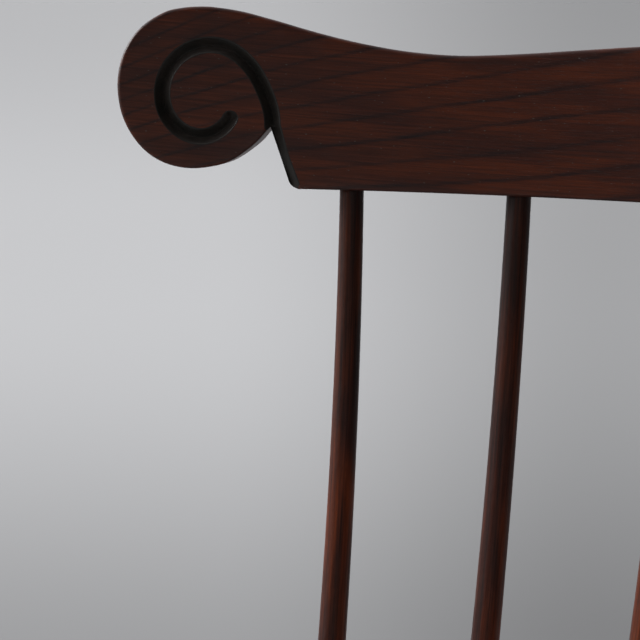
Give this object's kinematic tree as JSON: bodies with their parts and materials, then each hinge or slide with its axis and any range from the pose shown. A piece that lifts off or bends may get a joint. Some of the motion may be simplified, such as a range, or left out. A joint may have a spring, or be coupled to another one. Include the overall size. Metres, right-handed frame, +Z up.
{
  "type": "windsor rocking chair",
  "caption": "Wooden Windsor rocking chair: saddled seat on turned legs and curved rockers, bent arm bow, and a tall comb back of bent spindles under a crest rail with carved scroll ends.",
  "frame": {"origin": "on the floor, midway between the rockers and midway along them", "axes": "+Z up, +Y towards the back of the chair, which faces -Y, and +X to the right for someone who looks at its front"},
  "size_m": [0.616, 0.8, 1.0782],
  "materials": {
    "crest_wood": "dark reddish brown stain under satin lacquer",
    "spindle_wood": "dark brown stain under satin lacquer",
    "turned_wood": "dark brown stain under satin lacquer",
    "bent_wood": "dark reddish brown stain under satin lacquer",
    "seat_wood": "dark reddish brown stain under satin lacquer",
    "wedge_wood": "end grain, brown stain under satin lacquer"
  },
  "bodies": {
    "root": {"crest_rail": "crest_wood", "back_spindle_1": "spindle_wood", "back_spindle_2": "spindle_wood", "back_spindle_3": "spindle_wood", "back_spindle_4": "spindle_wood", "back_spindle_5": "spindle_wood", "arm_bow": "bent_wood", "arm_post_left": "turned_wood", "arm_post_right": "turned_wood", "arm_spindle_left_1": "spindle_wood", "arm_spindle_left_2": "spindle_wood", "arm_spindle_left_3": "spindle_wood", "arm_spindle_right_1": "spindle_wood", "arm_spindle_right_2": "spindle_wood", "arm_spindle_right_3": "spindle_wood", "seat": "seat_wood", "leg_front_left": "turned_wood", "leg_front_right": "turned_wood", "leg_back_left": "turned_wood", "leg_back_right": "turned_wood", "side_stretcher_left": "turned_wood", "side_stretcher_right": "turned_wood", "cross_stretcher": "turned_wood", "rocker_left": "bent_wood", "rocker_right": "bent_wood", "leg_wedges": "wedge_wood", "post_wedges": "wedge_wood", "rocker_pins": "wedge_wood"}
  },
  "joints": []
}
